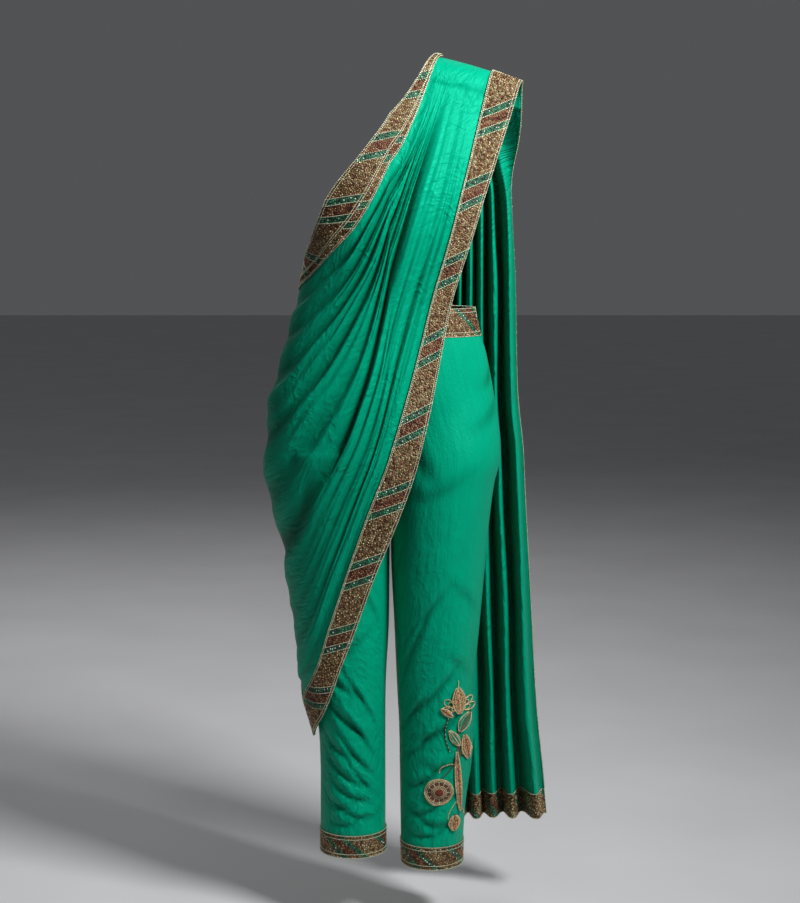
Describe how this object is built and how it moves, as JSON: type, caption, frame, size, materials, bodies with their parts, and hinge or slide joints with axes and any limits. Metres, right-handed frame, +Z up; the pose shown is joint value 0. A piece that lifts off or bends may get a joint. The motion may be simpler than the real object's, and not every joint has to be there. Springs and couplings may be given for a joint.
{
  "type": "pant saree",
  "caption": "Green crepe pant saree: tapered trousers with an attached drape over one shoulder, a pleated hanging end and beaded gold borders.",
  "frame": {"origin": "middle of the waist opening, at the top of the waistband, where the wearer holds the garment", "axes": "+Z up along the body, +X to the wearer's left, -Y to the front"},
  "size_m": [0.4819, 0.3064, 1.3383],
  "materials": {
    "crepe": "soft satin crepe",
    "beaded_border": "dense gold and copper beadwork",
    "bead_motif": "raised gold beadwork"
  },
  "bodies": {
    "root": {"trouser_front_left": "crepe", "trouser_front_right": "crepe", "trouser_back_left": "crepe", "trouser_back_right": "crepe", "waistband": "beaded_border", "cuff_left": "beaded_border", "cuff_right": "beaded_border", "drape_front": "crepe", "drape_back": "crepe", "drape_lower_band": "beaded_border", "drape_under_band": "beaded_border", "drape_upper_band": "beaded_border", "pallu": "crepe", "pallu_inner_band": "beaded_border", "pallu_outer_band": "beaded_border", "pallu_end_band": "beaded_border", "motif_medallion": "bead_motif", "motif_crown_leaf": "bead_motif", "motif_side_leaf": "bead_motif", "motif_paisley": "bead_motif", "motif_green_leaf": "bead_motif", "motif_feather": "bead_motif", "motif_stem": "bead_motif", "motif_bud": "bead_motif"}
  },
  "joints": []
}
